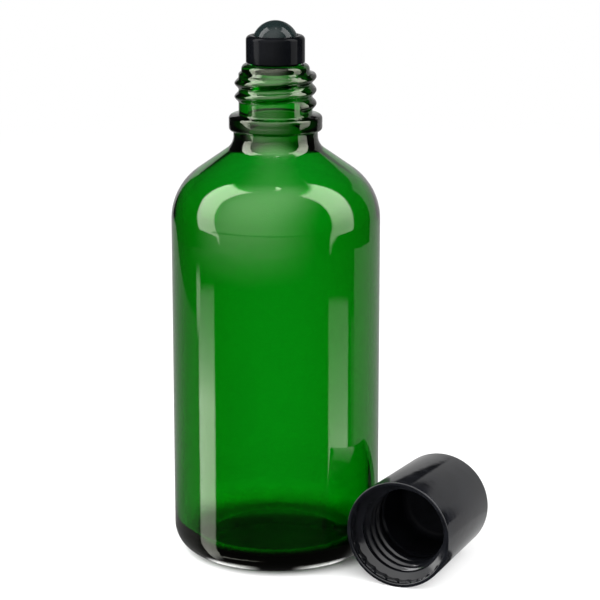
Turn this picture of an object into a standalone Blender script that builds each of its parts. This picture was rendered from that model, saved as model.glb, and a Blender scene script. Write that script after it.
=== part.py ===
"""Round glass apothecary bottle with a roller ball in its mouth and its screw cap taken off.

The bottle stands on the XY plane. The cap lies on its side to the right of it, mouth towards -Y,
resting along its own side. The origin is on the table, in the middle of the room that the two take up.
"""

import math

import bmesh
import bpy

MM = 0.001

# Glass bottle, heights measured up from the table and drops down from the top of the lip
BODY_RADIUS = 23.4 * MM
BOTTLE_HEIGHT = 112.0 * MM
WALL = 2.2 * MM
BASE_THICKNESS = 4.2 * MM
HEEL_RADIUS = 6.35 * MM
INNER_HEEL_RADIUS = 5.0 * MM
FOOT_RING_WIDTH = 2.6 * MM
PUSH_UP = 1.8 * MM
INNER_PUSH_UP = 1.1 * MM
SHOULDER_RADIUS = 13.5 * MM
SHOULDER_ANGLE = math.radians(55.0)
SHOULDER_THINNING = 1.1 * MM
NECK_FILLET_RADIUS = 3.8 * MM
NECK_BASE_RADIUS = 9.4 * MM
NECK_DROP = 16.0 * MM
BORE_RADIUS = 5.5 * MM

# Collar under the thread
COLLAR_RADIUS = 10.4 * MM
COLLAR_DROP = 14.8 * MM
COLLAR_EDGE_ROUND = 0.6 * MM
COLLAR_TOP_ROUND = 2.0 * MM
COLLAR_TOP_SLOPE = math.radians(65.0)
COLLAR_UNDERCUT = 0.3 * MM
COLLAR_HEIGHT = 3.5 * MM

# Neck finish: thread root, thread ridge and lip
ROOT_RADIUS = 8.2 * MM
ROOT_FILLET = 0.7 * MM
ROOT_FILLET_SWEEP = math.radians(63.0)
THREAD_DEPTH = 0.95 * MM
THREAD_PITCH = 3.0 * MM
THREAD_TURNS = 2.35
THREAD_FIRST_DROP = 9.2 * MM
THREAD_FIRST_ANGLE = math.radians(-26.0)
THREAD_RUN_OUT = math.radians(40.0)
THREAD_END_SHARE = 0.35
LIP_RADIUS = 7.6 * MM
LIP_HEIGHT = 2.2 * MM
LIP_ROUND = 1.2 * MM
LIP_INNER_ROUND = 0.5 * MM

# Roller fitment: ball and the housing that holds it
BALL_RADIUS = 5.2 * MM
BALL_SINK = 0.85 * MM
BALL_CLEARANCE = 0.2 * MM
BALL_SHOWN = 3.25 * MM
HOUSING_RADIUS = 6.55 * MM
HOUSING_EDGE_ROUND = 1.0 * MM
HOUSING_TOP_SLOPE = math.radians(81.0)
RIM_LAND = 0.35 * MM
SPIGOT_LENGTH = 3.0 * MM
SPIGOT_CHAMFER = 0.5 * MM
SPIGOT_BORE_RADIUS = 3.4 * MM
SEAT_GAP = 0.3 * MM
PRESS_GAP = 0.3 * MM

# Screw cap, lengths measured from its mouth
CAP_MOUTH_RADIUS = 12.0 * MM
CAP_END_RADIUS = 11.3 * MM
CAP_LENGTH = 28.6 * MM
CAP_EDGE_ROUND = 0.9 * MM
CAP_RIM_WALL = 0.85 * MM
CAP_RIM_ROUND = 0.25 * MM
CAP_TOP_WALL = 1.8 * MM
CAP_SKIRT_DEPTH = 2.7 * MM
CAP_SEAT_DEPTH = 0.6 * MM
CAP_THREAD_START = 4.3 * MM
CAP_THREAD_TURNS = 3.1
CAP_THREAD_LAND = 1.2 * MM
CAP_UPPER_STEP = 0.45 * MM
CAP_UPPER_TAPER = 0.3 * MM
CAP_TOP_FILLET = 1.6 * MM
THREAD_CLEARANCE = 0.4 * MM
THREAD_ENGAGEMENT = 0.45 * MM
RATCHET_TEETH = 24
RATCHET_START = 0.9 * MM
RATCHET_HEIGHT = 1.3 * MM
RATCHET_CLEARANCE = 0.35 * MM
RATCHET_STEEP_SHARE = 0.3

# Where the cap lies beside the bottle
CAP_TO_BODY_GAP = 0.3 * MM
CAP_MOUTH_FORWARD = 15.0 * MM

# Facets
BODY_STEPS = 48
FITMENT_STEPS = 36
CAP_STEPS = 48
THREAD_POINTS_PER_TURN = 20
MERGE = 0.005 * MM
SHARP_EDGE = math.radians(40.0)

GREEN_GLASS = (0.004, 0.19, 0.018)
BLACK_PLASTIC = (0.018, 0.018, 0.020)
BALL_GREY = (0.030, 0.045, 0.045)
GLASS_ROUGHNESS = 0.02
GLASS_TRANSMISSION = 0.9
HOUSING_ROUGHNESS = 0.22
CAP_ROUGHNESS = 0.28
BALL_ROUGHNESS = 0.08


def clear_scene():
    """Empties the scene of what a new file holds."""
    for thing in list(bpy.data.objects):
        bpy.data.objects.remove(thing, do_unlink=True)


def new_collection(name):
    """Adds a collection to the scene."""
    made = bpy.data.collections.new(name)
    bpy.context.scene.collection.children.link(made)
    return made


def new_material(name, colour, roughness, metallic=0.0, transmission=0.0):
    """A plain Principled material for one piece."""
    material = bpy.data.materials.new(name)
    material.use_nodes = True
    shader = material.node_tree.nodes["Principled BSDF"]
    shader.inputs["Base Color"].default_value = (*colour, 1.0)
    shader.inputs["Roughness"].default_value = roughness
    shader.inputs["Metallic"].default_value = metallic
    shader.inputs["Transmission Weight"].default_value = transmission
    return material


def arc(centre, radius, start, end, steps):
    """Points of a circular arc in the (radius, height) plane, both ends included."""
    points = []
    for i in range(steps + 1):
        angle = start + (end - start) * i / steps
        points.append((centre[0] + radius * math.cos(angle), centre[1] + radius * math.sin(angle)))
    return points


def dome(radius, rise, foot_height, steps):
    """Points of a shallow dome, from its rim in to its middle."""
    sphere = (radius**2 + rise**2) / (2.0 * rise)
    half = math.asin(radius / sphere)
    centre = (0.0, foot_height + rise - sphere)
    rim_side = arc(centre, sphere, 0.5 * math.pi - half, 0.5 * math.pi, steps)
    return rim_side[:-1] + [(0.0, foot_height + rise)]


def turned(name, outline, closed, steps, collection):
    """A turned body: the outline runs down the outer side and back up the inner one."""
    mesh = bpy.data.meshes.new(name)
    verts = [(radius, 0.0, height) for radius, height in outline]
    edges = [(i, i + 1) for i in range(len(verts) - 1)]
    if closed:
        edges.append((len(verts) - 1, 0))
    mesh.from_pydata(verts, edges, [])
    piece = bpy.data.objects.new(name, mesh)
    collection.objects.link(piece)
    screw = piece.modifiers.new("turn", "SCREW")
    screw.axis = "Z"
    screw.angle = 2.0 * math.pi
    screw.steps = steps
    screw.render_steps = steps
    screw.use_merge_vertices = True
    screw.merge_threshold = MERGE
    screw.use_smooth_shade = True
    return piece


def curve_to_mesh(curve_object, name, collection):
    """A welded mesh of a curve, in place of the curve."""
    graph = bpy.context.evaluated_depsgraph_get()
    mesh = bpy.data.meshes.new_from_object(curve_object.evaluated_get(graph))
    mesh.name = name
    work = bmesh.new()
    work.from_mesh(mesh)
    bmesh.ops.remove_doubles(work, verts=work.verts, dist=MERGE)
    bmesh.ops.recalc_face_normals(work, faces=work.faces)
    work.to_mesh(mesh)
    work.free()
    piece = bpy.data.objects.new(name, mesh)
    piece.matrix_world = curve_object.matrix_world
    collection.objects.link(piece)
    bpy.data.objects.remove(curve_object, do_unlink=True)
    return piece


def helix_ridge(name, centre_radius, ridge_radius, first_height, first_angle, turns, collection):
    """A right-handed thread ridge of round section that thins out at both ends."""
    curve = bpy.data.curves.new(name, "CURVE")
    curve.dimensions = "3D"
    curve.bevel_depth = ridge_radius
    curve.bevel_resolution = 2
    curve.use_fill_caps = True
    count = round(turns * THREAD_POINTS_PER_TURN)
    spline = curve.splines.new("POLY")
    spline.points.add(count)
    for i, point in enumerate(spline.points):
        turn = turns * i / count
        angle = first_angle + 2.0 * math.pi * turn
        from_end = 2.0 * math.pi * min(turn, turns - turn)
        rise = math.sin(0.5 * math.pi * min(1.0, from_end / THREAD_RUN_OUT))
        point.co = (
            centre_radius * math.cos(angle),
            centre_radius * math.sin(angle),
            first_height + THREAD_PITCH * turn,
            1.0,
        )
        point.radius = THREAD_END_SHARE + (1.0 - THREAD_END_SHARE) * rise
    ridge = bpy.data.objects.new(name, curve)
    collection.objects.link(ridge)
    return curve_to_mesh(ridge, name, collection)


def hide_guide(piece):
    """Keeps a piece that only shapes another out of the renders."""
    piece.hide_render = True
    piece.display_type = "WIRE"


def join_shape(piece, added):
    """Fuses a shape into a piece."""
    boolean = piece.modifiers.new("add_" + added.name, "BOOLEAN")
    boolean.operation = "UNION"
    boolean.solver = "EXACT"
    boolean.object = added
    hide_guide(added)


def finish(piece, material):
    """Gives a piece its material and smooth shading on its round sides."""
    piece.data.materials.append(material)
    piece.data.shade_smooth()
    piece.data.set_sharp_from_angle(angle=SHARP_EDGE)


def shoulder_rise(side_radius, arc_radius, fillet_radius, neck_radius):
    """How far the neck's foot stands above the top of the straight side."""
    both_arcs = arc_radius + fillet_radius
    cone_run = side_radius - neck_radius - both_arcs * (1.0 - math.cos(SHOULDER_ANGLE))
    return both_arcs * math.sin(SHOULDER_ANGLE) + cone_run / math.tan(SHOULDER_ANGLE)


def side_top_height():
    """Height at which the straight side ends and the round shoulder starts."""
    rise = shoulder_rise(BODY_RADIUS, SHOULDER_RADIUS, NECK_FILLET_RADIUS, NECK_BASE_RADIUS)
    return BOTTLE_HEIGHT - NECK_DROP - rise


def shoulder(side_radius, side_height, arc_radius, fillet_radius, neck_radius):
    """Outline from the neck's foot down a hollow fillet, a straight cone and a round shoulder to the side."""
    neck_height = side_height + shoulder_rise(side_radius, arc_radius, fillet_radius, neck_radius)
    fillet_centre = (neck_radius + fillet_radius, neck_height)
    arc_centre = (side_radius - arc_radius, side_height)
    hollow = arc(fillet_centre, fillet_radius, math.pi, math.pi + SHOULDER_ANGLE, 4)
    round_part = arc(arc_centre, arc_radius, SHOULDER_ANGLE, 0.0, 7)
    return hollow + round_part


def outer_outline():
    """Section of the outside of the glass, from the top of the lip down to the middle of the foot."""
    collar_bottom = BOTTLE_HEIGHT - COLLAR_DROP
    collar_top = collar_bottom + COLLAR_HEIGHT
    root_top = BOTTLE_HEIGHT - LIP_HEIGHT
    outline = arc(
        (LIP_RADIUS - LIP_ROUND, BOTTLE_HEIGHT - LIP_ROUND), LIP_ROUND, 0.5 * math.pi, 0.0, 4
    )
    outline.append((LIP_RADIUS, root_top + (ROOT_RADIUS - LIP_RADIUS)))
    outline.append((ROOT_RADIUS, root_top))
    outline += arc(
        (ROOT_RADIUS + ROOT_FILLET, collar_top + ROOT_FILLET),
        ROOT_FILLET,
        math.pi,
        math.pi + ROOT_FILLET_SWEEP,
        2,
    )
    outline += arc(
        (COLLAR_RADIUS - COLLAR_TOP_ROUND, collar_top - COLLAR_TOP_ROUND),
        COLLAR_TOP_ROUND,
        COLLAR_TOP_SLOPE,
        0.0,
        4,
    )
    outline += arc(
        (COLLAR_RADIUS - COLLAR_EDGE_ROUND, collar_bottom + COLLAR_EDGE_ROUND),
        COLLAR_EDGE_ROUND,
        0.0,
        -0.5 * math.pi,
        3,
    )
    outline.append((NECK_BASE_RADIUS, collar_bottom - COLLAR_UNDERCUT))
    outline += shoulder(
        BODY_RADIUS,
        side_top_height(),
        SHOULDER_RADIUS,
        NECK_FILLET_RADIUS,
        NECK_BASE_RADIUS,
    )
    outline += arc(
        (BODY_RADIUS - HEEL_RADIUS, HEEL_RADIUS), HEEL_RADIUS, 0.0, -0.5 * math.pi, 6
    )
    outline += dome(BODY_RADIUS - HEEL_RADIUS - FOOT_RING_WIDTH, PUSH_UP, 0.0, 4)
    return outline


def inner_outline():
    """Section of the inside of the glass, from the middle of its floor up to the mouth."""
    inner_radius = BODY_RADIUS - WALL
    floor_radius = inner_radius - INNER_HEEL_RADIUS
    outline = dome(floor_radius, INNER_PUSH_UP, BASE_THICKNESS, 3)[:0:-1]
    outline += arc(
        (floor_radius, BASE_THICKNESS + INNER_HEEL_RADIUS), INNER_HEEL_RADIUS, -0.5 * math.pi, 0.0, 4
    )
    inner_shoulder = shoulder(
        inner_radius,
        side_top_height() + SHOULDER_THINNING,
        SHOULDER_RADIUS - WALL,
        NECK_FILLET_RADIUS + WALL,
        BORE_RADIUS,
    )
    outline += reversed(inner_shoulder)
    outline += arc(
        (BORE_RADIUS + LIP_INNER_ROUND, BOTTLE_HEIGHT - LIP_INNER_ROUND),
        LIP_INNER_ROUND,
        math.pi,
        0.5 * math.pi,
        2,
    )
    return outline


def make_bottle(pieces, guides, material):
    """The glass bottle, with its thread fused on."""
    outline = inner_outline() + outer_outline()
    bottle = turned("glass_bottle", outline, False, BODY_STEPS, pieces)
    thread = helix_ridge(
        "neck_thread",
        ROOT_RADIUS,
        THREAD_DEPTH,
        BOTTLE_HEIGHT - THREAD_FIRST_DROP,
        THREAD_FIRST_ANGLE,
        THREAD_TURNS,
        guides,
    )
    thread.parent = bottle
    join_shape(bottle, thread)
    finish(bottle, material)
    return bottle


def make_housing(pieces, material):
    """The black cup on the lip that holds the ball, with its spigot in the neck."""
    bottom = BOTTLE_HEIGHT + SEAT_GAP
    ball_height = ball_centre_height()
    top = ball_height + BALL_RADIUS - BALL_SHOWN
    socket = BALL_RADIUS + BALL_CLEARANCE
    rim_angle = math.asin((top - ball_height) / socket)
    seat_angle = -math.acos(SPIGOT_BORE_RADIUS / socket)
    spigot = BORE_RADIUS - PRESS_GAP
    spigot_end = BOTTLE_HEIGHT - SPIGOT_LENGTH
    rim_radius = socket * math.cos(rim_angle)
    outline = [(rim_radius + RIM_LAND, top)]
    outline += arc(
        (HOUSING_RADIUS - HOUSING_EDGE_ROUND, top - HOUSING_EDGE_ROUND),
        HOUSING_EDGE_ROUND,
        HOUSING_TOP_SLOPE,
        0.0,
        4,
    )
    outline.append((HOUSING_RADIUS, bottom))
    outline.append((spigot, bottom))
    outline.append((spigot, spigot_end + SPIGOT_CHAMFER))
    outline.append((spigot - SPIGOT_CHAMFER, spigot_end))
    outline.append((SPIGOT_BORE_RADIUS, spigot_end))
    outline += arc((0.0, ball_height), socket, seat_angle, rim_angle, 8)
    housing = turned("roller_housing", outline, True, FITMENT_STEPS, pieces)
    finish(housing, material)
    return housing


def ball_centre_height():
    """Height of the ball's centre: it sits a little into the mouth."""
    return BOTTLE_HEIGHT + BALL_RADIUS - BALL_SINK


def make_ball(pieces, material):
    """The roller ball, its origin at its centre, where it turns."""
    mesh = bpy.data.meshes.new("roller_ball")
    work = bmesh.new()
    bmesh.ops.create_uvsphere(work, u_segments=32, v_segments=16, radius=BALL_RADIUS)
    work.to_mesh(mesh)
    work.free()
    ball = bpy.data.objects.new("roller_ball", mesh)
    pieces.objects.link(ball)
    finish(ball, material)
    return ball


def cap_thread_radius():
    """Inner radius of the cap's wall behind its thread ridge."""
    return ROOT_RADIUS + THREAD_DEPTH + THREAD_CLEARANCE


def cap_outline():
    """Section of the cap, its mouth at height 0 and its closed end up."""
    thread_wall = cap_thread_radius()
    skirt = CAP_MOUTH_RADIUS - CAP_RIM_WALL
    thread_end = CAP_THREAD_START + CAP_THREAD_TURNS * THREAD_PITCH + CAP_THREAD_LAND
    upper = thread_wall - CAP_UPPER_STEP
    inner_top = CAP_LENGTH - CAP_TOP_WALL
    outline = [(0.0, CAP_LENGTH)]
    outline += arc(
        (CAP_END_RADIUS - CAP_EDGE_ROUND, CAP_LENGTH - CAP_EDGE_ROUND),
        CAP_EDGE_ROUND,
        0.5 * math.pi,
        0.0,
        4,
    )
    outline.append((CAP_MOUTH_RADIUS, CAP_RIM_ROUND))
    outline.append((CAP_MOUTH_RADIUS - CAP_RIM_ROUND, 0.0))
    outline.append((skirt + CAP_RIM_ROUND, 0.0))
    outline.append((skirt, CAP_RIM_ROUND))
    outline.append((skirt, CAP_SKIRT_DEPTH))
    outline.append((thread_wall, CAP_SKIRT_DEPTH + CAP_SEAT_DEPTH))
    outline.append((thread_wall, thread_end))
    outline.append((upper, thread_end + CAP_UPPER_STEP))
    outline += arc(
        (upper - CAP_UPPER_TAPER - CAP_TOP_FILLET, inner_top - CAP_TOP_FILLET),
        CAP_TOP_FILLET,
        0.0,
        0.5 * math.pi,
        4,
    )
    outline.append((0.0, inner_top))
    return outline


def ratchet_ring(guides):
    """A flat ring whose inner edge has saw teeth, let into the wall of the cap's mouth."""
    curve = bpy.data.curves.new("ratchet_ring", "CURVE")
    curve.dimensions = "2D"
    curve.fill_mode = "BOTH"
    curve.extrude = 0.5 * RATCHET_HEIGHT
    skirt = CAP_MOUTH_RADIUS - CAP_RIM_WALL
    tips = COLLAR_RADIUS + RATCHET_CLEARANCE
    sunk = skirt + 0.5 * CAP_RIM_WALL
    outer = curve.splines.new("POLY")
    outer.points.add(CAP_STEPS - 1)
    outer.use_cyclic_u = True
    for i, point in enumerate(outer.points):
        angle = 2.0 * math.pi * (i + 0.5) / CAP_STEPS
        point.co = (sunk * math.cos(angle), sunk * math.sin(angle), 0.0, 1.0)
    inner = curve.splines.new("POLY")
    inner.points.add(2 * RATCHET_TEETH - 1)
    inner.use_cyclic_u = True
    root = 0.5 * (skirt + sunk)
    for i in range(RATCHET_TEETH):
        start = 2.0 * math.pi * i / RATCHET_TEETH
        steep = 2.0 * math.pi * (i + RATCHET_STEEP_SHARE) / RATCHET_TEETH
        inner.points[2 * i].co = (root * math.cos(start), root * math.sin(start), 0.0, 1.0)
        inner.points[2 * i + 1].co = (tips * math.cos(steep), tips * math.sin(steep), 0.0, 1.0)
    ring = bpy.data.objects.new("ratchet_ring", curve)
    ring.location.z = RATCHET_START + 0.5 * RATCHET_HEIGHT
    guides.objects.link(ring)
    bpy.context.view_layer.update()
    return curve_to_mesh(ring, "ratchet_ring", guides)


def make_cap(pieces, guides, material):
    """The screw cap, with the thread ridge and ratchet teeth fused inside it."""
    cap = turned("screw_cap", cap_outline(), False, CAP_STEPS, pieces)
    crest = ROOT_RADIUS + THREAD_DEPTH - THREAD_ENGAGEMENT
    thread = helix_ridge(
        "cap_thread",
        cap_thread_radius(),
        cap_thread_radius() - crest,
        CAP_THREAD_START,
        0.0,
        CAP_THREAD_TURNS,
        guides,
    )
    teeth = ratchet_ring(guides)
    for part in (thread, teeth):
        part.parent = cap
        join_shape(cap, part)
    finish(cap, material)
    return cap


def cap_tilt():
    """How far the axis of the tapered cap dips when it lies on its side."""
    return math.atan((CAP_MOUTH_RADIUS - CAP_END_RADIUS) / CAP_LENGTH)


def layout():
    """X and Y of the bottle's axis and of the cap's mouth, so that the set is centred on the origin."""
    tilt = cap_tilt()
    cap_x = BODY_RADIUS + CAP_TO_BODY_GAP + CAP_MOUTH_RADIUS
    mouth_y = -CAP_MOUTH_FORWARD
    cap_front = mouth_y - CAP_MOUTH_RADIUS * math.sin(tilt)
    cap_back = mouth_y + CAP_LENGTH * math.cos(tilt) + CAP_END_RADIUS * math.sin(tilt)
    middle_x = 0.5 * (cap_x + CAP_MOUTH_RADIUS - BODY_RADIUS)
    middle_y = 0.5 * (max(BODY_RADIUS, cap_back) - max(BODY_RADIUS, -cap_front))
    return (-middle_x, -middle_y), (cap_x - middle_x, mouth_y - middle_y)


def main():
    """Builds the four pieces and puts them in their places."""
    clear_scene()
    pieces = new_collection("apothecary_bottle")
    guides = new_collection("guides")
    glass = new_material("green_glass", GREEN_GLASS, GLASS_ROUGHNESS, transmission=GLASS_TRANSMISSION)
    black = new_material("black_polypropylene", BLACK_PLASTIC, HOUSING_ROUGHNESS)
    cap_black = new_material("black_cap_plastic", BLACK_PLASTIC, CAP_ROUGHNESS)
    ball_grey = new_material("dark_ball", BALL_GREY, BALL_ROUGHNESS)

    bottle_place, cap_place = layout()
    axis = bpy.data.objects.new("bottle_axis", None)
    pieces.objects.link(axis)
    axis.location = (*bottle_place, 0.0)
    bottle = make_bottle(pieces, guides, glass)
    housing = make_housing(pieces, black)
    ball = make_ball(pieces, ball_grey)
    for piece in (bottle, housing):
        piece.parent = axis
    ball.parent = housing
    ball.location.z = ball_centre_height()

    cap = make_cap(pieces, guides, cap_black)
    tilt = cap_tilt()
    cap.rotation_euler.x = -(0.5 * math.pi + tilt)
    cap.location = (*cap_place, CAP_MOUTH_RADIUS * math.cos(tilt))
    bpy.context.view_layer.update()


main()
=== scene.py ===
"""Looks of a green glass bottle with a roller ball in its mouth and its screw cap lying beside it.

Every piece is built in metres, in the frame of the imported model, with its place in its mesh. Outer
sizes are those of the construction model, with finer arcs, thread ridges and uneven inner walls.
"""

import logging
import math
from collections.abc import Callable, Iterable
from dataclasses import dataclass, field
from enum import Enum

import bmesh
import bpy
from mathutils import Matrix, Vector, noise


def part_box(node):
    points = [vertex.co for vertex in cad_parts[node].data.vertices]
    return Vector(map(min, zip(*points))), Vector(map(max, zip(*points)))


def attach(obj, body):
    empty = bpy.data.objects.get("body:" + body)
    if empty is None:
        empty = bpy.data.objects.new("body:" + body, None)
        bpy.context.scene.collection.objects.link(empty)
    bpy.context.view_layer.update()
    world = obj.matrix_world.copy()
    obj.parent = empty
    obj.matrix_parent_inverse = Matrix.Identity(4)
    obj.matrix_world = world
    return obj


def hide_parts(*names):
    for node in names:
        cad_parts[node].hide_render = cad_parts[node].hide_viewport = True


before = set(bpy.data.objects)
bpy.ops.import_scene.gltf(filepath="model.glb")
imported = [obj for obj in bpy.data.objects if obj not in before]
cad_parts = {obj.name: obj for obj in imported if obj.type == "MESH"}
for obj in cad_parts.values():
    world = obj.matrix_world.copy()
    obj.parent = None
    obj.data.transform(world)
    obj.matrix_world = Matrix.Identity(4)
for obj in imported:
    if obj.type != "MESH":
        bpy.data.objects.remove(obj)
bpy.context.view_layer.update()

LOG = logging.getLogger("bottle_scene")
MM = 0.001
MERGE = 0.002 * MM
HALF_TURN = math.pi
FULL_TURN = 2.0 * math.pi
WHITE = (1.0, 1.0, 1.0, 1.0)
CAMERA_AZIMUTH = 24.07  # Degrees from the front to the camera's side, which the lights go by.
LIGHT_BOUNCES = 24  # Enough for light that is thrown to and fro between the glass walls.

Piece = bpy.types.Object
Tree = bpy.types.NodeTree
Socket = bpy.types.NodeSocket
Colour = tuple[float, float, float, float]
Outline = list[tuple[float, float]]
Reshape = Callable[[float, float, float], float]


class Body(Enum):
    """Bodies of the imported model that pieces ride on."""

    BOTTLE = "bottle"
    FITMENT = "fitment"
    BALL = "ball"
    CAP = "cap"


class Ray(Enum):
    """Kinds of ray that the studio answers in their own way, by the name of their socket."""

    CAMERA = "Is Camera Ray"
    GLOSSY = "Is Glossy Ray"
    TRANSMISSION = "Is Transmission Ray"
    DIFFUSE = "Is Diffuse Ray"


def linear_colour(hex_code: str) -> Colour:
    """Turns an sRGB hex colour to linear light.

    Args:
        hex_code: Six hex digits, with or without a leading #.

    Returns:
        Red, green, blue and an alpha of 1.
    """
    digits = hex_code.lstrip("#")
    channels = []
    for start in (0, 2, 4):
        value = int(digits[start:start + 2], 16) / 255.0
        channels.append(value / 12.92 if value <= 0.04045 else ((value + 0.055) / 1.055) ** 2.4)
    return (*channels, 1.0)


def absorption(hex_code: str, depth: float) -> tuple[Colour, float]:
    """Works out what a clear body takes from white light.

    Args:
        hex_code: Colour that is left of white light behind the body.
        depth: Length of the way through it.

    Returns:
        Colour and density for the Volume Absorption shader.
    """
    losses = [-math.log(channel) / depth for channel in linear_colour(hex_code)[:3]]
    density = max(losses)
    return (*(1.0 - loss / density for loss in losses), 1.0), density


def add_node(
    tree: Tree, kind: str, inputs: dict | None = None, **settings: object
) -> bpy.types.NodeOutputs:
    """Adds a shader node with its settings, values and links.

    Args:
        tree: Node tree that takes the node.
        kind: Blender's name for the node type, without the ShaderNode that it starts with.
        inputs: Value or output socket for each input, by the input's name or number.
        settings: The node's own options.

    Returns:
        The new node's outputs.
    """
    node = tree.nodes.new(f"ShaderNode{kind}")
    for name, value in settings.items():
        setattr(node, name, value)
    for name, value in (inputs or {}).items():
        if isinstance(value, Socket):
            tree.links.new(value, node.inputs[name])
        else:
            node.inputs[name].default_value = value
    return node.outputs


def new_material(name: str) -> bpy.types.Material:
    """Makes a material with an empty node tree.

    Args:
        name: What the material really is.

    Returns:
        The material.
    """
    material = bpy.data.materials.new(name)
    material.use_nodes = True
    material.node_tree.nodes.clear()
    return material


def arc(
    centre: tuple[float, float], radius: float, start: float, end: float, steps: int
) -> Outline:
    """Points of a circular arc in the plane of radius and height.

    Args:
        centre: Radius and height of the arc's centre.
        radius: Radius of the arc.
        start: First angle, 0 pointing outwards and a quarter turn pointing up.
        end: Last angle.
        steps: Number of chords.

    Returns:
        The points, both ends included.
    """
    points = []
    for step in range(steps + 1):
        angle = start + (end - start) * step / steps
        points.append((centre[0] + radius * math.cos(angle), centre[1] + radius * math.sin(angle)))
    return points


def dome(radius: float, rise: float, foot_height: float, steps: int) -> Outline:
    """Points of a shallow dome, from its rim in to its middle.

    Args:
        radius: Radius at the rim.
        rise: Height of the middle above the rim.
        foot_height: Height of the rim.
        steps: Number of chords.

    Returns:
        The points, the last one on the axis.
    """
    sphere = (radius**2 + rise**2) / (2.0 * rise)
    half = math.asin(radius / sphere)
    centre = (0.0, foot_height + rise - sphere)
    rim_side = arc(centre, sphere, 0.5 * HALF_TURN - half, 0.5 * HALF_TURN, steps)
    return rim_side[:-1] + [(0.0, foot_height + rise)]


def refined(outline: Outline, spacing: float) -> Outline:
    """Adds points to the long stretches of an outline.

    Args:
        outline: Points of the outline.
        spacing: Longest chord that stays undivided.

    Returns:
        The outline with its own points and the added ones.
    """
    points = [outline[0]]
    for (r0, z0), (r1, z1) in zip(outline, outline[1:]):
        parts = max(1, math.ceil(math.hypot(r1 - r0, z1 - z0) / spacing))
        for part in range(1, parts + 1):
            share = part / parts
            points.append((r0 + (r1 - r0) * share, z0 + (z1 - z0) * share))
    return points


def turned_piece(
    name: str,
    outline: Outline,
    segments: int,
    place: Matrix,
    closed: bool = False,
    reshape: Reshape | None = None,
) -> Piece:
    """Turns an outline round the Z axis, reshapes its rings and puts it in its place.

    Args:
        name: Name of the piece.
        outline: Radius and height of each point.
        segments: Facets round the axis.
        place: Where the turned shape goes, baked into the mesh.
        closed: Whether the last point joins the first.
        reshape: New radius for a radius, angle and height, before the piece is placed.

    Returns:
        The piece, with its faces pointing out.
    """
    work = bmesh.new()
    ring = [work.verts.new((radius, 0.0, height)) for radius, height in outline]
    edges = [work.edges.new(pair) for pair in zip(ring, ring[1:])]
    if closed:
        edges.append(work.edges.new((ring[-1], ring[0])))
    bmesh.ops.spin(
        work,
        geom=ring + edges,
        cent=(0.0, 0.0, 0.0),
        axis=(0.0, 0.0, 1.0),
        angle=FULL_TURN,
        steps=segments,
        use_merge=True,
    )
    bmesh.ops.remove_doubles(work, verts=work.verts, dist=MERGE)
    bmesh.ops.recalc_face_normals(work, faces=work.faces)
    if reshape is not None:
        for vert in work.verts:
            radius = math.hypot(vert.co.x, vert.co.y)
            if radius > MERGE:
                angle = math.atan2(vert.co.y, vert.co.x)
                share = reshape(radius, angle, vert.co.z) / radius
                vert.co.x *= share
                vert.co.y *= share
    return placed_piece(name, work, place)


def placed_piece(name: str, work: bmesh.types.BMesh, place: Matrix) -> Piece:
    """Makes an object at the origin from a bmesh whose place is baked in.

    Args:
        name: Name of the piece.
        work: The shape, which is freed.
        place: Where the shape goes.

    Returns:
        The piece, smooth but for its sharp edges.
    """
    sharp_edge = math.radians(38.0)
    bmesh.ops.transform(work, matrix=place, verts=work.verts)
    mesh = bpy.data.meshes.new(name)
    work.to_mesh(mesh)
    work.free()
    mesh.shade_smooth()
    mesh.set_sharp_from_angle(angle=sharp_edge)
    piece = bpy.data.objects.new(name, mesh)
    bpy.context.scene.collection.objects.link(piece)
    return piece


def dress(piece: Piece, material: bpy.types.Material, body: Body, node: str) -> None:
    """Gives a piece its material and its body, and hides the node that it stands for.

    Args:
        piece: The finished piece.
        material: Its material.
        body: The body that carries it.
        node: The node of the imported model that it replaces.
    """
    piece.data.materials.append(material)
    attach(piece, body.value)
    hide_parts(node)


@dataclass(frozen=True)
class BottleGlass:
    """Green soda-lime glass, blown in a mould: clear green where thin, near black where thick."""

    name: str = "green_soda_lime_glass_moulded"
    ior: float = 1.52
    wall: float = 2.2 * MM
    wall_colour: str = "#27b042"
    gloss_tint: str = "#fbffe8"
    wave_length: float = 9.0 * MM
    wave_height: float = 0.02 * MM
    polish_low: float = 0.0
    polish_high: float = 0.02

    def make(self) -> bpy.types.Material:
        """Builds the material.

        Returns:
            Glass with a faint mould waviness, coloured by the length of the way through it.
        """
        material = new_material(self.name)
        tree = material.node_tree
        place = add_node(tree, "TexCoord")["Object"]
        waves = add_node(
            tree, "TexNoise", {"Vector": place, "Scale": 1.0 / self.wave_length, "Detail": 1.5}
        )["Fac"]
        bump = add_node(
            tree, "Bump", {"Height": waves, "Strength": 1.0, "Distance": self.wave_height}
        )["Normal"]
        polish = add_node(
            tree,
            "MapRange",
            {"Value": waves, "To Min": self.polish_low, "To Max": self.polish_high},
        )["Result"]
        glass = add_node(
            tree,
            "BsdfPrincipled",
            {
                "Base Color": WHITE,
                "Transmission Weight": 1.0,
                "IOR": self.ior,
                "Specular Tint": linear_colour(self.gloss_tint),
                "Roughness": polish,
                "Normal": bump,
            },
        )["BSDF"]
        colour, density = absorption(self.wall_colour, self.wall)
        body = add_node(tree, "VolumeAbsorption", {"Color": colour, "Density": density})["Volume"]
        add_node(tree, "OutputMaterial", {"Surface": glass, "Volume": body})
        return material


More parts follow.
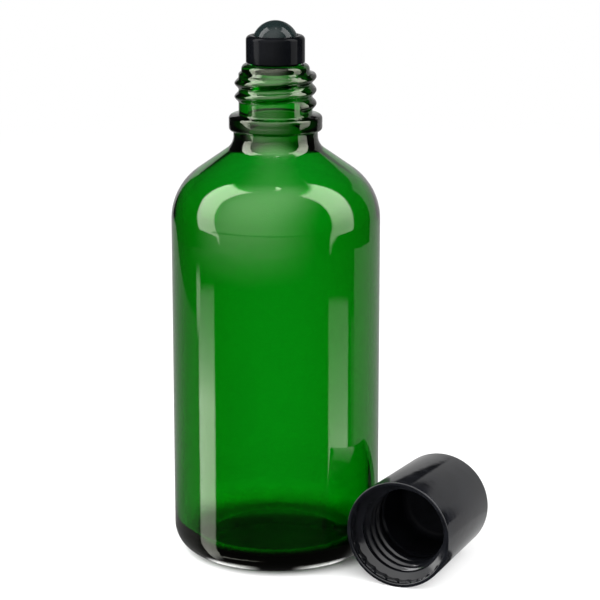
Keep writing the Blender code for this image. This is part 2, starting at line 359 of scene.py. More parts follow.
@dataclass(frozen=True)
class RollerGlass:
    """Polished smoke glass, dark teal and a little cloudy: a soft sheen over a near black body."""

    name: str = "smoke_glass_polished"
    ior: float = 1.5
    cloud_colour: str = "#1d2727"
    clear_share: float = 0.35
    specular_level: float = 0.03
    colour: str = "#3c5254"
    depth: float = 10.4 * MM
    scuff_length: float = 1.3 * MM
    scuff_low: float = 0.0
    scuff_high: float = 0.05

    def make(self) -> bpy.types.Material:
        """Builds the material.

        Returns:
            Cloudy glass with the teal of its depth and faint scuffs from rolling.
        """
        material = new_material(self.name)
        tree = material.node_tree
        place = add_node(tree, "TexCoord")["Object"]
        scuffs = add_node(
            tree, "TexNoise", {"Vector": place, "Scale": 1.0 / self.scuff_length, "Detail": 3.0}
        )["Fac"]
        roughness = add_node(
            tree,
            "MapRange",
            {
                "Value": scuffs,
                "From Min": 0.45,
                "From Max": 0.75,
                "To Min": self.scuff_low,
                "To Max": self.scuff_high,
            },
        )["Result"]
        glass = add_node(
            tree,
            "BsdfPrincipled",
            {
                "Base Color": linear_colour(self.cloud_colour),
                "Transmission Weight": self.clear_share,
                "IOR": self.ior,
                "Specular IOR Level": self.specular_level,
                "Roughness": roughness,
            },
        )["BSDF"]
        colour, density = absorption(self.colour, self.depth)
        body = add_node(tree, "VolumeAbsorption", {"Color": colour, "Density": density})["Volume"]
        add_node(tree, "OutputMaterial", {"Surface": glass, "Volume": body})
        return material


@dataclass(frozen=True)
class MouldedPlastic:
    """Black injection-moulded polypropylene: near black, its soft sheen broken up by smudges."""

    name: str
    colour: str = "#0c0d10"
    smudge_colour: str = "#15161a"
    roughness_low: float = 0.07
    roughness_high: float = 0.16
    smudge_length: float = 5.0 * MM
    flow_length: float = 2.2 * MM
    flow_height: float = 0.02 * MM
    grain_length: float = 0.25 * MM  # Guessed: the photo is too coarse to show any grain.
    grain_height: float = 0.002 * MM
    ior: float = 1.49
    specular_level: float = 0.5

    def make(self) -> bpy.types.Material:
        """Builds the material.

        Returns:
            Black plastic with smudges, the slight waves of moulding and a fine grain.
        """
        material = new_material(self.name)
        tree = material.node_tree
        place = add_node(tree, "TexCoord")["Object"]
        smudges = add_node(
            tree,
            "TexNoise",
            {"Vector": place, "Scale": 1.0 / self.smudge_length, "Detail": 5.0, "Roughness": 0.6},
        )["Fac"]
        marks = add_node(
            tree, "MapRange", {"Value": smudges, "From Min": 0.42, "From Max": 0.72}
        )["Result"]
        colour = add_node(
            tree,
            "Mix",
            {
                "Factor": marks,
                "A": linear_colour(self.colour),
                "B": linear_colour(self.smudge_colour),
            },
            data_type="RGBA",
        )
        roughness = add_node(
            tree,
            "MapRange",
            {"Value": marks, "To Min": self.roughness_low, "To Max": self.roughness_high},
        )["Result"]
        flow = add_node(
            tree, "TexNoise", {"Vector": place, "Scale": 1.0 / self.flow_length, "Detail": 2.0}
        )["Fac"]
        waves = add_node(tree, "Bump", {"Height": flow, "Distance": self.flow_height})["Normal"]
        fine = add_node(
            tree, "TexNoise", {"Vector": place, "Scale": 1.0 / self.grain_length, "Detail": 2.0}
        )["Fac"]
        grain = add_node(
            tree, "Bump", {"Height": fine, "Distance": self.grain_height, "Normal": waves}
        )["Normal"]
        shader = add_node(
            tree,
            "BsdfPrincipled",
            {
                "Base Color": colour[2],
                "Roughness": roughness,
                "IOR": self.ior,
                "Specular IOR Level": self.specular_level,
                "Normal": grain,
            },
        )["BSDF"]
        add_node(tree, "OutputMaterial", {"Surface": shader})
        return material


@dataclass(frozen=True)
class ScrewThread:
    """A thread ridge on a turned wall, which fades out at both ends."""

    pitch: float
    turns: float
    start_height: float
    start_angle: float
    depth: float
    half_width: float
    run_out: float = math.radians(40.0)
    fullness: float = 0.7

    def rise(self, angle: float, height: float) -> float:
        """Height of the ridge above its wall.

        Args:
            angle: Angle round the axis.
            height: Height along the axis.

        Returns:
            How far the ridge stands out there, in metres.
        """
        turn_here = (angle - self.start_angle) / FULL_TURN
        turn = (height - self.start_height) / self.pitch
        nearest = turn_here + round(turn - turn_here)
        off = abs(turn - nearest) * self.pitch / self.half_width
        from_end = min(nearest, self.turns - nearest) * FULL_TURN
        if off >= 1.0 or from_end <= 0.0:
            return 0.0
        ending = math.sin(0.25 * FULL_TURN * min(1.0, from_end / self.run_out))
        return self.depth * ending * (0.5 + 0.5 * math.cos(HALF_TURN * off)) ** self.fullness


@dataclass
class GlassBottle:
    """Round bottle with a foot ring, a sloping shoulder, a collar, a screw thread and a lip."""

    body_radius: float = 23.4 * MM
    height: float = 112.0 * MM
    wall: float = 2.2 * MM
    base_thickness: float = 4.2 * MM
    heel_radius: float = 6.35 * MM
    inner_heel_radius: float = 4.0 * MM
    foot_ring_width: float = 2.6 * MM
    push_up: float = 1.8 * MM
    inner_push_up: float = 1.1 * MM
    shoulder_radius: float = 13.5 * MM
    shoulder_angle: float = math.radians(55.0)
    shoulder_thinning: float = 0.93 * MM
    neck_fillet: float = 3.8 * MM
    inner_neck_fillet: float = 6.45 * MM
    neck_radius: float = 9.4 * MM
    neck_drop: float = 16.0 * MM
    bore_radius: float = 5.5 * MM
    neck_bore_radius: float = 6.2 * MM
    seat_depth: float = 3.3 * MM
    seat_run: float = 1.2 * MM
    collar_radius: float = 10.4 * MM
    collar_drop: float = 14.8 * MM
    collar_height: float = 3.5 * MM
    collar_edge_round: float = 0.66 * MM
    collar_top_round: float = 0.84 * MM
    collar_top_slope: float = math.radians(68.0)
    collar_undercut: float = 0.05 * MM
    root_radius: float = 8.2 * MM
    root_fillet: float = 0.38 * MM
    root_fillet_sweep: float = math.radians(61.0)
    thread_drop: float = 9.2 * MM
    lip_radius: float = 7.6 * MM
    lip_height: float = 2.2 * MM
    lip_round: float = 1.2 * MM
    lip_inner_round: float = 0.5 * MM
    wave_height: float = 0.05 * MM
    wave_length: float = 16.0 * MM
    wave_stretch: float = 2.0
    thread_chord: float = 0.14 * MM
    wall_chord: float = 2.5 * MM
    segments: int = 224
    glass: BottleGlass = field(default_factory=BottleGlass)

    def thread(self) -> ScrewThread:
        """The ridge that the cap screws on to."""
        return ScrewThread(
            pitch=3.0 * MM,
            turns=2.35,
            start_height=self.height - self.thread_drop,
            start_angle=math.radians(-26.0),
            depth=0.9 * MM,
            half_width=1.37 * MM,
            fullness=0.86,
        )

    def shoulder_rise(self, side: float, round_radius: float, fillet: float, neck: float) -> float:
        """How far the neck's foot stands above the top of the straight side.

        Args:
            side: Radius of the side below the shoulder.
            round_radius: Radius of the shoulder's arc.
            fillet: Radius of the hollow at the neck.
            neck: Radius of the neck.

        Returns:
            The height of the whole shoulder.
        """
        both_arcs = round_radius + fillet
        cone_run = side - neck - both_arcs * (1.0 - math.cos(self.shoulder_angle))
        return both_arcs * math.sin(self.shoulder_angle) + cone_run / math.tan(self.shoulder_angle)

    @property
    def side_top(self) -> float:
        """Height at which the straight side ends and the round shoulder starts."""
        rise = self.shoulder_rise(
            self.body_radius, self.shoulder_radius, self.neck_fillet, self.neck_radius
        )
        return self.height - self.neck_drop - rise

    def shoulder(
        self, side: float, side_top: float, round_radius: float, fillet: float, neck: float
    ) -> Outline:
        """Outline from the neck's foot down a hollow fillet and a cone to a round shoulder.

        Args:
            side: Radius of the side below the shoulder.
            side_top: Height where the round shoulder starts.
            round_radius: Radius of the shoulder's arc.
            fillet: Radius of the hollow at the neck.
            neck: Radius of the neck.

        Returns:
            The points, top to bottom.
        """
        angle = self.shoulder_angle
        foot = side_top + self.shoulder_rise(side, round_radius, fillet, neck)
        hollow = arc((neck + fillet, foot), fillet, HALF_TURN, HALF_TURN + angle, 12)
        return hollow + arc((side - round_radius, side_top), round_radius, angle, 0.0, 26)

    def outside(self) -> Outline:
        """Section of the outside, from the lip's top down to the middle of the foot."""
        collar_bottom = self.height - self.collar_drop
        collar_top = collar_bottom + self.collar_height
        root_top = self.height - self.lip_height
        lip_centre = (self.lip_radius - self.lip_round, self.height - self.lip_round)
        lip = arc(lip_centre, self.lip_round, 0.5 * HALF_TURN, 0.0, 10)
        lip_bottom = root_top + self.root_radius - self.lip_radius
        neck = [(self.lip_radius, lip_bottom), (self.root_radius, root_top)]
        neck += arc(
            (self.root_radius + self.root_fillet, collar_top + self.root_fillet),
            self.root_fillet,
            HALF_TURN,
            HALF_TURN + self.root_fillet_sweep,
            6,
        )
        collar = arc(
            (self.collar_radius - self.collar_top_round, collar_top - self.collar_top_round),
            self.collar_top_round,
            self.collar_top_slope,
            0.0,
            8,
        )
        collar += arc(
            (self.collar_radius - self.collar_edge_round, collar_bottom + self.collar_edge_round),
            self.collar_edge_round,
            0.0,
            -0.5 * HALF_TURN,
            6,
        )
        collar.append((self.neck_radius, collar_bottom - self.collar_undercut))
        side = self.shoulder(
            self.body_radius,
            self.side_top,
            self.shoulder_radius,
            self.neck_fillet,
            self.neck_radius,
        )
        heel_centre = (self.body_radius - self.heel_radius, self.heel_radius)
        side += arc(heel_centre, self.heel_radius, 0.0, -0.5 * HALF_TURN, 18)
        foot_inner = self.body_radius - self.heel_radius - self.foot_ring_width
        foot = dome(foot_inner, self.push_up, 0.0, 10)
        neck = refined(neck, self.thread_chord)
        return lip + neck + collar + refined(side, self.wall_chord) + foot

    def inside(self) -> Outline:
        """Section of the inside, from the middle of the floor up to the mouth."""
        inner = self.body_radius - self.wall
        floor_radius = inner - self.inner_heel_radius
        points = dome(floor_radius, self.inner_push_up, self.base_thickness, 8)[::-1]
        points += arc(
            (floor_radius, self.base_thickness + self.inner_heel_radius),
            self.inner_heel_radius,
            -0.5 * HALF_TURN,
            0.0,
            12,
        )[1:]
        points += self.shoulder(
            inner,
            self.side_top + self.shoulder_thinning,
            self.shoulder_radius - self.wall,
            self.inner_neck_fillet,
            self.neck_bore_radius,
        )[::-1]
        seat = self.height - self.seat_depth
        points += [(self.neck_bore_radius, seat - self.seat_run), (self.bore_radius, seat)]
        mouth = arc(
            (self.bore_radius + self.lip_inner_round, self.height - self.lip_inner_round),
            self.lip_inner_round,
            HALF_TURN,
            0.5 * HALF_TURN,
            6,
        )
        return refined(points, self.wall_chord) + mouth

    def reshape(self, radius: float, angle: float, height: float) -> float:
        """Raises the thread on the outside of the neck and makes the inner wall uneven.

        Args:
            radius: Radius of the turned wall.
            angle: Angle round the axis.
            height: Height above the table.

        Returns:
            The new radius.
        """
        near = 0.1 * MM
        on_root = abs(radius - self.root_radius) < near
        if on_root and height > self.height - self.collar_drop + self.collar_height:
            return radius + self.thread().rise(angle, height)
        inner = self.body_radius - self.wall
        if radius < inner + near and self.base_thickness < height < self.height - self.neck_drop:
            along = height / self.wave_stretch
            spot = Vector((radius * math.cos(angle), radius * math.sin(angle), along))
            return radius + self.wave_height * noise.noise(spot / self.wave_length)
        return radius

    def build(self, place: Matrix) -> Piece:
        """Builds and dresses the bottle.

        Args:
            place: Where its foot stands.

        Returns:
            The bottle.
        """
        section = self.inside() + self.outside()
        bottle = turned_piece("bottle_glass", section, self.segments, place, reshape=self.reshape)
        dress(bottle, self.glass.make(), Body.BOTTLE, "glass_bottle")
        return bottle


@dataclass
class RollerFitment:
    """Black cup pressed into the mouth, and the glass ball that rolls in it."""

    lip_height: float
    bore_radius: float
    ball_radius: float = 5.2 * MM
    ball_sink: float = 0.85 * MM
    ball_clearance: float = 0.2 * MM
    ball_shown: float = 3.25 * MM
    radius: float = 6.55 * MM
    edge_round: float = 1.0 * MM
    top_slope: float = math.radians(81.0)
    rim_land: float = 0.35 * MM
    bottom_chamfer: float = 0.15 * MM
    spigot_length: float = 3.0 * MM
    spigot_chamfer: float = 0.5 * MM
    spigot_bore: float = 3.4 * MM
    seat_gap: float = 0.3 * MM
    press_gap: float = 0.3 * MM
    segments: int = 144
    plastic: MouldedPlastic = field(
        default_factory=lambda: MouldedPlastic(
            "black_polypropylene_fitment_moulded",
            colour="#07080a",
            smudge_colour="#0c0d10",
            specular_level=0.05,
        )
    )
    glass: RollerGlass = field(default_factory=RollerGlass)

    @property
    def ball_height(self) -> float:
        """Height of the ball's centre."""
        return self.lip_height + self.ball_radius - self.ball_sink

    def outline(self) -> Outline:
        """Closed section of the housing, from the top of its rim down and round."""
        bottom = self.lip_height + self.seat_gap
        top = self.ball_height + self.ball_radius - self.ball_shown
        socket = self.ball_radius + self.ball_clearance
        rim_angle = math.asin((top - self.ball_height) / socket)
        seat_angle = -math.acos(self.spigot_bore / socket)
        spigot = self.bore_radius - self.press_gap
        spigot_end = self.lip_height - self.spigot_length
        points = [(socket * math.cos(rim_angle) + self.rim_land, top)]
        edge_centre = (self.radius - self.edge_round, top - self.edge_round)
        points += arc(edge_centre, self.edge_round, self.top_slope, 0.0, 10)
        points += [
            (self.radius, bottom + self.bottom_chamfer),
            (self.radius - self.bottom_chamfer, bottom),
            (spigot, bottom),
            (spigot, spigot_end + self.spigot_chamfer),
            (spigot - self.spigot_chamfer, spigot_end),
            (self.spigot_bore, spigot_end),
        ]
        points += arc((0.0, self.ball_height), socket, seat_angle, rim_angle, 24)
        return points

    def build_housing(self, place: Matrix) -> Piece:
        """Builds and dresses the housing.

        Args:
            place: Where the foot of the bottle stands.

        Returns:
            The housing.
        """
        housing = turned_piece("roller_cup", self.outline(), self.segments, place, closed=True)
        dress(housing, self.plastic.make(), Body.FITMENT, "roller_housing")
        return housing

    def build_ball(self, place: Matrix) -> Piece:
        """Builds and dresses the ball.

        Args:
            place: Where the foot of the bottle stands.

        Returns:
            The ball.
        """
        work = bmesh.new()
        bmesh.ops.create_icosphere(work, subdivisions=6, radius=self.ball_radius)
        centre = place @ Matrix.Translation((0.0, 0.0, self.ball_height))
        ball = placed_piece("roller_glass_ball", work, centre)
        dress(ball, self.glass.make(), Body.BALL, "roller_ball")
        return ball


@dataclass
class ScrewCap:
    """Black cap lying on its side, with a thread ridge and a ring of saw teeth inside its mouth."""

    mouth_radius: float = 12.0 * MM
    end_radius: float = 11.3 * MM
    length: float = 28.6 * MM
    edge_round: float = 0.9 * MM
    rim_wall: float = 0.85 * MM
    rim_round: float = 0.25 * MM
    top_wall: float = 1.8 * MM
    skirt_depth: float = 2.7 * MM
    seat_depth: float = 0.6 * MM
    thread_start: float = 4.3 * MM
    thread_turns: float = 3.1
    thread_land: float = 1.2 * MM
    thread_pitch: float = 3.0 * MM
    thread_wall: float = 9.55 * MM
    thread_crest: float = 8.7 * MM
    thread_half_width: float = 1.0 * MM
    thread_chord: float = 0.15 * MM
    upper_step: float = 0.45 * MM
    upper_taper: float = 0.3 * MM
    top_fillet: float = 1.6 * MM
    teeth: int = 24
    tooth_start: float = 0.9 * MM
    tooth_height: float = 1.3 * MM
    tooth_tip_radius: float = 10.75 * MM
    tooth_steep_share: float = 0.3
    tooth_end_run: float = 0.06 * MM
    shaded_matt_depth: float = 16.5 * MM
    segments: int = 240
    plastic: MouldedPlastic = field(
        default_factory=lambda: MouldedPlastic("black_polypropylene_cap_moulded")
    )
    # Painted shade: the deep end takes a matt copy of the plastic with little gloss, so that it
    # stays black like a shaded recess.
    shaded_matt: MouldedPlastic = field(
        default_factory=lambda: MouldedPlastic(
            "black_polypropylene_cap_inside_shaded_matt",
            roughness_low=0.4,
            roughness_high=0.55,
            specular_level=0.05,
        )
    )

    @property
    def skirt(self) -> float:
        """Inner radius of the mouth."""
        return self.mouth_radius - self.rim_wall

    @property
    def tilt(self) -> float:
        """How far the tapered cap's axis dips as it lies on its side."""
        return math.atan((self.mouth_radius - self.end_radius) / self.length)

    def thread(self) -> ScrewThread:
        """The ridge inside the cap."""
        return ScrewThread(
            pitch=self.thread_pitch,
            turns=self.thread_turns,
            start_height=self.thread_start,
            start_angle=0.0,
            depth=self.thread_wall - self.thread_crest,
            half_width=self.thread_half_width,
        )

    def outline(self) -> Outline:
        """Section of the cap, its mouth at height 0 and its closed end up."""
        rim = self.rim_round
        thread_end = self.thread_start + self.thread_turns * self.thread_pitch + self.thread_land
        upper = self.thread_wall - self.upper_step
        inner_top = self.length - self.top_wall
        tooth_end = self.tooth_start + self.tooth_height
        points = [(0.0, self.length)]
        points += arc(
            (self.end_radius - self.edge_round, self.length - self.edge_round),
            self.edge_round,
            0.5 * HALF_TURN,
            0.0,
            10,
        )
        points += arc((self.mouth_radius - rim, rim), rim, 0.0, -0.5 * HALF_TURN, 5)
        points += arc((self.skirt + rim, rim), rim, -0.5 * HALF_TURN, -HALF_TURN, 5)
        for depth in (
            self.tooth_start - self.tooth_end_run,
            self.tooth_start,
            tooth_end,
            tooth_end + self.tooth_end_run,
            self.skirt_depth,
        ):
            points.append((self.skirt, depth))
        wall_start = self.skirt_depth + self.seat_depth
        wall = [(self.thread_wall, wall_start), (self.thread_wall, thread_end)]
        points += refined(wall, self.thread_chord)
        points.append((upper, thread_end + self.upper_step))
        points += arc(
            (upper - self.upper_taper - self.top_fillet, inner_top - self.top_fillet),
            self.top_fillet,
            0.0,
            0.5 * HALF_TURN,
            8,
        )
        points.append((0.0, inner_top))
        return points

    def tooth(self, angle: float) -> float:
        """How far a tooth stands in from the skirt.

        Args:
            angle: Angle round the axis.

        Returns:
            Height of the saw tooth there.
        """
        place = (angle / FULL_TURN * self.teeth) % 1.0
        steep = self.tooth_steep_share
        share = place / steep if place < steep else (1.0 - place) / (1.0 - steep)
        return (self.skirt - self.tooth_tip_radius) * share

    def reshape(self, radius: float, angle: float, height: float) -> float:
        """Raises the teeth and the thread ridge on the inner wall.

        Args:
            radius: Radius of the turned wall.
            angle: Angle round the axis.
            height: Depth from the mouth.

        Returns:
            The new radius.
        """
        near = 0.01 * MM
        up_tooth = height - self.tooth_start
        if abs(radius - self.skirt) < near and -near < up_tooth < self.tooth_height + near:
            return radius - self.tooth(angle)
        if abs(radius - self.thread_wall) < near:
            return radius - self.thread().rise(angle, height)
        return radius

    def place(self) -> Matrix:
        """Where the cap lies, from the box of the node that it replaces."""
        low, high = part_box("screw_cap")
        mouth_y = low.y + self.mouth_radius * math.sin(self.tilt)
        centre = Vector((0.5 * (low.x + high.x), mouth_y, self.mouth_radius * math.cos(self.tilt)))
        return Matrix.Translation(centre) @ Matrix.Rotation(-(0.5 * HALF_TURN + self.tilt), 4, "X")

    def build(self) -> Piece:
        """Builds and dresses the cap.

        Returns:
            The cap.
        """
        place = self.place()
        outline = self.outline()
        cap = turned_piece("screw_cap_shell", outline, self.segments, place, reshape=self.reshape)
        dress(cap, self.plastic.make(), Body.CAP, "screw_cap")
        cap.data.materials.append(self.shaded_matt.make())
        to_cap = place.inverted()
        inside_end = self.length - 0.5 * self.top_wall
        # Painted shade: the faces of the deep end take the matt copy.
        for face in cap.data.polygons:
            centre = to_cap @ face.center
            if self.shaded_matt_depth < centre.z < inside_end and centre.xy.length < self.thread_wall:
                face.material_index = 1
        return cap


def turned_parts(tree: Tree, place: Socket, azimuth: float) -> tuple[Socket, Socket, Socket]:
    """Adds the parts of a place or direction, turned to one side of the set.

    Args:
        tree: Node tree that takes the nodes.
        place: The place or direction.
        azimuth: Degrees from the front of the set to that side.

    Returns:
        Its parts to the right, towards that side and up.
    """
    turned = add_node(
        tree, "Mapping", {"Vector": place, "Rotation": (0.0, 0.0, -math.radians(azimuth))}
    )["Vector"]
    split = add_node(tree, "SeparateXYZ", {"Vector": turned})
    towards = add_node(tree, "Math", {0: split["Y"], 1: -1.0}, operation="MULTIPLY")[0]
    return split["X"], towards, split["Z"]


def bearing(tree: Tree, across: Socket, towards: Socket) -> Socket:
    """Adds the azimuth of a place or direction in degrees: 0 on the camera's side, plus is right.

    Args:
        tree: Node tree that takes the nodes.
        across: Part of it to the right.
        towards: Part of it towards the camera.

    Returns:
        The azimuth.
    """
    angle = add_node(tree, "Math", {0: across, 1: towards}, operation="ARCTAN2")[0]
    return add_node(tree, "Math", {0: angle}, operation="DEGREES")[0]


def window(tree: Tree, value: Socket, low: float, high: float, edge: float) -> Socket:
    """Adds a mask that is 1 between two limits and 0 outside them.

    Args:
        tree: Node tree that takes the nodes.
        value: What the limits are for.
        low: Lower limit.
        high: Upper limit.
        edge: Half the width of the soft edge at each limit.

    Returns:
        The mask.
    """
    half = 0.5 * (high - low)
    off = add_node(tree, "Math", {0: value, 1: 0.5 * (low + high)}, operation="SUBTRACT")[0]
    aside = add_node(tree, "Math", {0: off}, operation="ABSOLUTE")[0]
    return add_node(
        tree,
        "MapRange",
        {
            "Value": aside,
            "From Min": half - edge,
            "From Max": half + edge,
            "To Min": 1.0,
            "To Max": 0.0,
        },
        interpolation_type="SMOOTHSTEP",
    )["Result"]


@dataclass(frozen=True)
class SoftBox:
    """A light in the room, in degrees as the set sees it: 0 is the camera's side, plus is right."""

    azimuth: float
    half_width: float
    low: float
    high: float
    strength: float
    low_strength: float
    full_from: float
    lean: float = 0.0
    low_slope: float = 0.0
    high_slope: float = 0.0
    edge: float = 1.5
    low_edge: float = 0.5
    end_edge: float = 5.0

    def add(self, tree: Tree, azimuth: Socket, elevation: Socket, narrowing: Socket) -> Socket:
        """Adds the light to the world.

        Args:
            tree: The world's nodes.
            azimuth: Azimuth in degrees.
            elevation: Elevation in degrees.
            narrowing: Cosine of the elevation.

        Returns:
            Strength of the light.
        """
        centre = add_node(
            tree, "Math", {0: elevation, 1: self.lean, 2: self.azimuth}, operation="MULTIPLY_ADD"
        )[0]
        off = add_node(tree, "Math", {0: azimuth, 1: centre}, operation="SUBTRACT")[0]
        apart = add_node(tree, "Math", {0: off, 1: narrowing}, operation="MULTIPLY")[0]
        across = window(tree, apart, -self.half_width, self.half_width, self.edge)
        sloped = add_node(
            tree, "Math", {0: off, 1: -self.low_slope, 2: elevation}, operation="MULTIPLY_ADD"
        )[0]
        above = add_node(
            tree,
            "MapRange",
            {
                "Value": sloped,
                "From Min": self.low - self.low_edge,
                "From Max": self.low + self.low_edge,
            },
            interpolation_type="SMOOTHSTEP",
        )["Result"]
        topped = add_node(
            tree, "Math", {0: off, 1: -self.high_slope, 2: elevation}, operation="MULTIPLY_ADD"
        )[0]
        below = add_node(
            tree,
            "MapRange",
            {
                "Value": topped,
                "From Min": self.high - self.end_edge,
                "From Max": self.high + self.end_edge,
                "To Min": 1.0,
                "To Max": 0.0,
            },
            interpolation_type="SMOOTHSTEP",
        )["Result"]
        level = add_node(
            tree,
            "MapRange",
            {
                "Value": elevation,
                "From Min": 0.0,
                "From Max": self.full_from,
                "To Min": self.low_strength,
                "To Max": self.strength,
            },
        )["Result"]
        span = add_node(tree, "Math", {0: above, 1: below}, operation="MULTIPLY")[0]
        lit = add_node(tree, "Math", {0: across, 1: span}, operation="MULTIPLY")[0]
        return add_node(tree, "Math", {0: lit, 1: level}, operation="MULTIPLY")[0]


@dataclass(frozen=True)
class Overhead:
    """Broad soft light above and in front of the set."""

    strength: float = 2.7
    azimuth: float = -32.0
    core: float = 8.0
    reach: float = 84.0
    low_share: float = 0.56
    full_from: float = 44.0
    lowest: float = -12.0
    horizon_share: float = 0.52
    horizon_low: float = -13.2
    horizon_high: float = -11.2
    back_end: float = -0.4
    back_start: float = 0.45

    def across(self, tree: Tree, azimuth: Socket, narrowing: Socket | float) -> Socket:
        """Adds how the light falls off to both sides.

        Args:
            tree: Node tree that takes the nodes.
            azimuth: Azimuth in degrees.
            narrowing: Cosine of the elevation.

        Returns:
            Strength of the light from there at full height.
        """
        off = add_node(tree, "Math", {0: azimuth, 1: self.azimuth}, operation="SUBTRACT")[0]
        aside = add_node(tree, "Math", {0: off}, operation="ABSOLUTE")[0]
        apart = add_node(tree, "Math", {0: aside, 1: narrowing}, operation="MULTIPLY")[0]
        return add_node(
            tree,
            "MapRange",
            {
                "Value": apart,
                "From Min": self.core,
                "From Max": self.reach,
                "To Min": self.strength,
                "To Max": 0.0,
            },
            interpolation_type="SMOOTHSTEP",
        )["Result"]

    def add(
        self, tree: Tree, azimuth: Socket, elevation: Socket, narrowing: Socket, towards: Socket
    ) -> Socket:
        """Adds the light to the world.

        Args:
            tree: The world's nodes.
            azimuth: Azimuth in degrees.
            elevation: Elevation in degrees.
            narrowing: Cosine of the elevation.
            towards: Part of the direction towards the camera.

        Returns:
            Strength of the light, which ends just behind the zenith.
        """
        up = add_node(
            tree,
            "MapRange",
            {
                "Value": elevation,
                "From Min": self.lowest,
                "From Max": self.full_from,
                "To Min": self.low_share,
            },
        )["Result"]
        horizon = add_node(
            tree,
            "MapRange",
            {
                "Value": elevation,
                "From Min": self.horizon_low,
                "From Max": self.horizon_high,
                "To Min": self.horizon_share,
            },
        )["Result"]
        top = add_node(
            tree,
            "MapRange",
            {"Value": towards, "From Min": self.back_end, "From Max": self.back_start},
            interpolation_type="SMOOTHSTEP",
        )["Result"]
        rising = add_node(
            tree, "Math", {0: self.across(tree, azimuth, narrowing), 1: up}, operation="MULTIPLY"
        )[0]
        standing = add_node(tree, "Math", {0: rising, 1: horizon}, operation="MULTIPLY")[0]
        return add_node(tree, "Math", {0: standing, 1: top}, operation="MULTIPLY")[0]


@dataclass(frozen=True)
class PaleWall:
    """Pale stretch of the room's wall, in degrees, for the rims of the glass and the cap's side."""

    azimuth: float
    half_width: float
    low: float
    high: float
    strength: float
    edge: float = 1.5

    def add(self, tree: Tree, azimuth: Socket, elevation: Socket) -> Socket:
        """Adds the stretch to the world.

        Args:
            tree: The world's nodes.
            azimuth: Azimuth in degrees.
            elevation: Elevation in degrees.

        Returns:
            Strength of the wall there.
        """
        straight_back = 180.0
        apart = add_node(tree, "Math", {0: azimuth, 1: self.azimuth}, operation="SUBTRACT")[0]
        off = add_node(
            tree, "Math", {0: apart, 1: straight_back, 2: -straight_back}, operation="WRAP"
        )[0]
        across = window(tree, off, -self.half_width, self.half_width, self.edge)
        span = window(tree, elevation, self.low, self.high, self.edge)
        lit = add_node(tree, "Math", {0: across, 1: span}, operation="MULTIPLY")[0]
        return add_node(tree, "Math", {0: lit, 1: self.strength}, operation="MULTIPLY")[0]


@dataclass
class StudioRoom:
    """Dark room with an overhead light, two soft boxes and pale walls, before a white backdrop."""

    camera_azimuth: float = CAMERA_AZIMUTH
    overhead: Overhead = field(default_factory=Overhead)
    walls: tuple[PaleWall, ...] = (
        PaleWall(azimuth=180.0, half_width=24.0, low=-16.0, high=18.0, strength=0.55),
        PaleWall(azimuth=146.0, half_width=20.0, low=-16.0, high=29.0, strength=0.45),
    )
    boxes: tuple[SoftBox, ...] = (
        SoftBox(
            azimuth=-81.5,
            half_width=13.0,
            low=-9.2,
            high=63.0,
            strength=8.0,
            low_strength=5.3,
            full_from=32.0,
            lean=-0.33,
            low_slope=-0.22,
            high_slope=0.2,
            end_edge=2.5,
        ),
        SoftBox(
            azimuth=79.0,
            half_width=15.5,
            low=-10.4,
            high=65.0,
            strength=7.0,
            low_strength=3.0,
            full_from=32.0,
            lean=0.15,
            low_slope=0.13,
            end_edge=3.5,
        ),
    )
    room_level: float = 0.02
    fill: float = 0.25
    # The backdrop through the glass, white up to one elevation in degrees and dark from the next.
    sweep_white_to: float = 6.0
    sweep_dark_from: float = 16.0
    sweep_dark: float = 0.06

    def build(self) -> None:
        """Builds the world."""
        world = bpy.data.worlds.new("studio_room")
        bpy.context.scene.world = world
        world.use_nodes = True
        tree = world.node_tree
        tree.nodes.clear()
        direction = add_node(tree, "TexCoord")["Generated"]
        across, towards, up = turned_parts(tree, direction, self.camera_azimuth)
        azimuth = bearing(tree, across, towards)
        elevation_radians = add_node(tree, "Math", {0: up}, operation="ARCSINE")[0]
        elevation = add_node(tree, "Math", {0: elevation_radians}, operation="DEGREES")[0]
        narrowing = add_node(tree, "Math", {0: elevation_radians}, operation="COSINE")[0]

        lights = self.overhead.add(tree, azimuth, elevation, narrowing, towards)
        for box in self.boxes:
            one = box.add(tree, azimuth, elevation, narrowing)
            lights = add_node(tree, "Math", {0: lights, 1: one}, operation="MAXIMUM")[0]
        mirrored = add_node(tree, "Math", {0: lights, 1: self.room_level}, operation="MAXIMUM")[0]
        for wall in self.walls:
            pale = wall.add(tree, azimuth, elevation)
            mirrored = add_node(tree, "Math", {0: mirrored, 1: pale}, operation="MAXIMUM")[0]
        diffuse = add_node(tree, "Math", {0: mirrored, 1: self.fill}, operation="ADD")[0]
        sweep = add_node(
            tree,
            "MapRange",
            {
                "Value": elevation,
                "From Min": self.sweep_white_to,
                "From Max": self.sweep_dark_from,
                "To Min": 1.0,
                "To Max": self.sweep_dark,
            },
            interpolation_type="SMOOTHSTEP",
        )["Result"]
        through = add_node(tree, "Math", {0: lights, 1: sweep}, operation="MAXIMUM")[0]

        rays = add_node(tree, "LightPath")
        shown = mirrored
        for ray, answer in ((Ray.DIFFUSE, diffuse), (Ray.TRANSMISSION, through), (Ray.CAMERA, 1.0)):
            shown = add_node(
                tree, "Mix", {"Factor": rays[ray.value], "A": shown, "B": answer}, data_type="FLOAT"
            )[0]
        light = add_node(tree, "Background", {"Color": WHITE, "Strength": shown})["Background"]
        add_node(tree, "OutputWorld", {"Surface": light})


